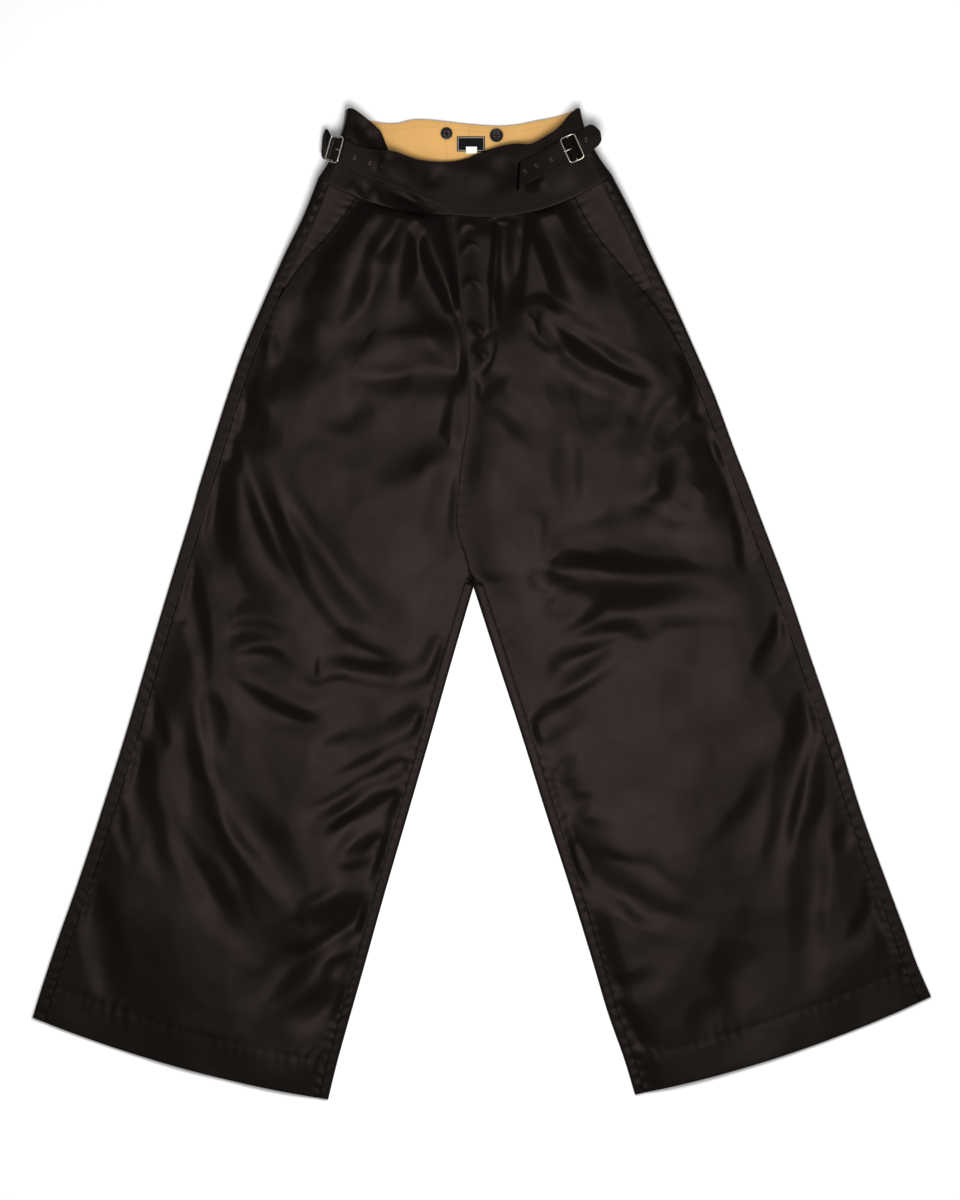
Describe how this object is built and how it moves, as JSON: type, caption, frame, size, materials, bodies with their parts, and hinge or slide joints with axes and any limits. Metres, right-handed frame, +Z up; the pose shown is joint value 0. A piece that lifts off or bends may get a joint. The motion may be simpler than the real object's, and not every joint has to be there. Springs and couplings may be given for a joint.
{
  "type": "gurkha trousers",
  "caption": "Pleated gurkha trousers laid flat, front up, with a crossed double band strapped to wire buckles at both sides, slant pockets and wide straight legs.",
  "frame": {"origin": "middle of the trousers' box, on the surface that they lie on", "axes": "+X across, towards the wearer's left leg; +Y up the legs to the waist; +Z up from the surface, out of the front"},
  "size_m": [1.0072, 1.1106, 0.0336],
  "materials": {
    "cloth": "warm black sateen twill with a soft sheen",
    "lining": "tan plain cotton",
    "buckle": "bright nickel-plated wire",
    "button": "polished black with a dished middle",
    "label": "woven black satin",
    "size_tag": "woven white"
  },
  "bodies": {
    "root": {"front_right": "cloth", "front_left": "cloth", "back_right": "cloth", "back_left": "cloth", "pocket_facing_right": "cloth", "pocket_facing_left": "cloth", "under_band": "cloth", "over_band": "cloth", "back_band": "cloth", "back_lining": "lining", "slot_welt": "cloth", "buckle_tab_left": "cloth", "buckle_tab_right": "cloth", "buckle_left": "buckle", "prong_left": "buckle", "buckle_right": "buckle", "prong_right": "buckle", "suspender_button_right": "button", "suspender_button_left": "button", "label": "label", "size_tag": "size_tag"}
  },
  "joints": []
}
